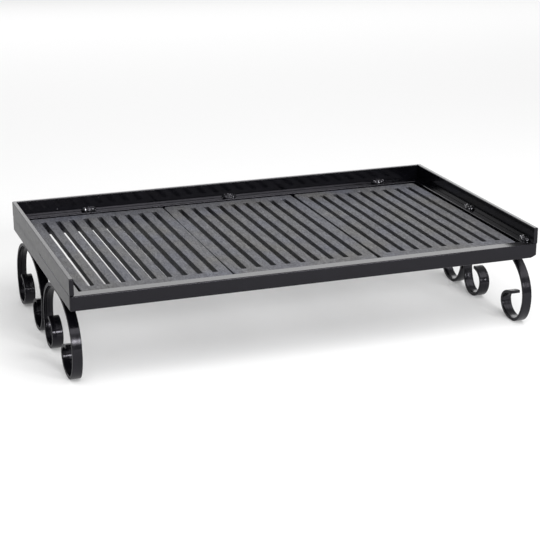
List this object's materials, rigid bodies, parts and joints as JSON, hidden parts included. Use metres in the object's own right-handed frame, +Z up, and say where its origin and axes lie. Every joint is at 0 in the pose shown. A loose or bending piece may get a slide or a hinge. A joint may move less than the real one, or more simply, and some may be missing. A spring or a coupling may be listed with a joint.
{
  "type": "log grate",
  "caption": "Raised log grate: a bar frame with low walls on three sides, loose slotted cast panels that lift out, and arched legs with scrolled feet.",
  "frame": {"origin": "on the hearth, under the middle of the grate", "axes": "+X to the right along the front rail, +Y to the back wall, +Z up"},
  "size_m": [0.711, 0.414, 0.1575],
  "materials": {
    "frame_paint": "satin",
    "leg_paint": "gloss",
    "weld_paint": "semi-gloss",
    "bare_iron": "matte as cast"
  },
  "bodies": {
    "frame": {"front_rail": "frame_paint", "back_rail": "frame_paint", "left_rail": "frame_paint", "right_rail": "frame_paint", "left_wall": "frame_paint", "right_wall": "frame_paint", "back_wall": "frame_paint", "front_ledge": "frame_paint", "back_ledge": "frame_paint", "front_left_leg": "leg_paint", "front_right_leg": "leg_paint", "back_left_leg": "leg_paint", "back_right_leg": "leg_paint", "front_left_leg_front_weld": "weld_paint", "front_left_leg_back_weld": "weld_paint", "front_right_leg_front_weld": "weld_paint", "front_right_leg_back_weld": "weld_paint", "back_left_leg_front_weld": "weld_paint", "back_left_leg_back_weld": "weld_paint", "back_right_leg_front_weld": "weld_paint", "back_right_leg_back_weld": "weld_paint", "back_wall_weld_left": "weld_paint", "back_wall_weld_centre": "weld_paint", "back_wall_weld_right": "weld_paint", "left_wall_weld_front": "weld_paint", "left_wall_weld_back": "weld_paint", "right_wall_weld_front": "weld_paint", "right_wall_weld_back": "weld_paint"},
    "left_panel": {"left_grate_panel": "bare_iron"},
    "centre_panel": {"centre_grate_panel": "bare_iron"},
    "right_panel": {"right_grate_panel": "bare_iron"}
  },
  "joints": [
    {"name": "left_panel_lift", "type": "slide", "parent": "frame", "child": "left_panel", "axis": [0, 0, 1], "range_m": [0, 0.06]},
    {"name": "centre_panel_lift", "type": "slide", "parent": "frame", "child": "centre_panel", "axis": [0, 0, 1], "range_m": [0, 0.06]},
    {"name": "right_panel_lift", "type": "slide", "parent": "frame", "child": "right_panel", "axis": [0, 0, 1], "range_m": [0, 0.06]}
  ]
}
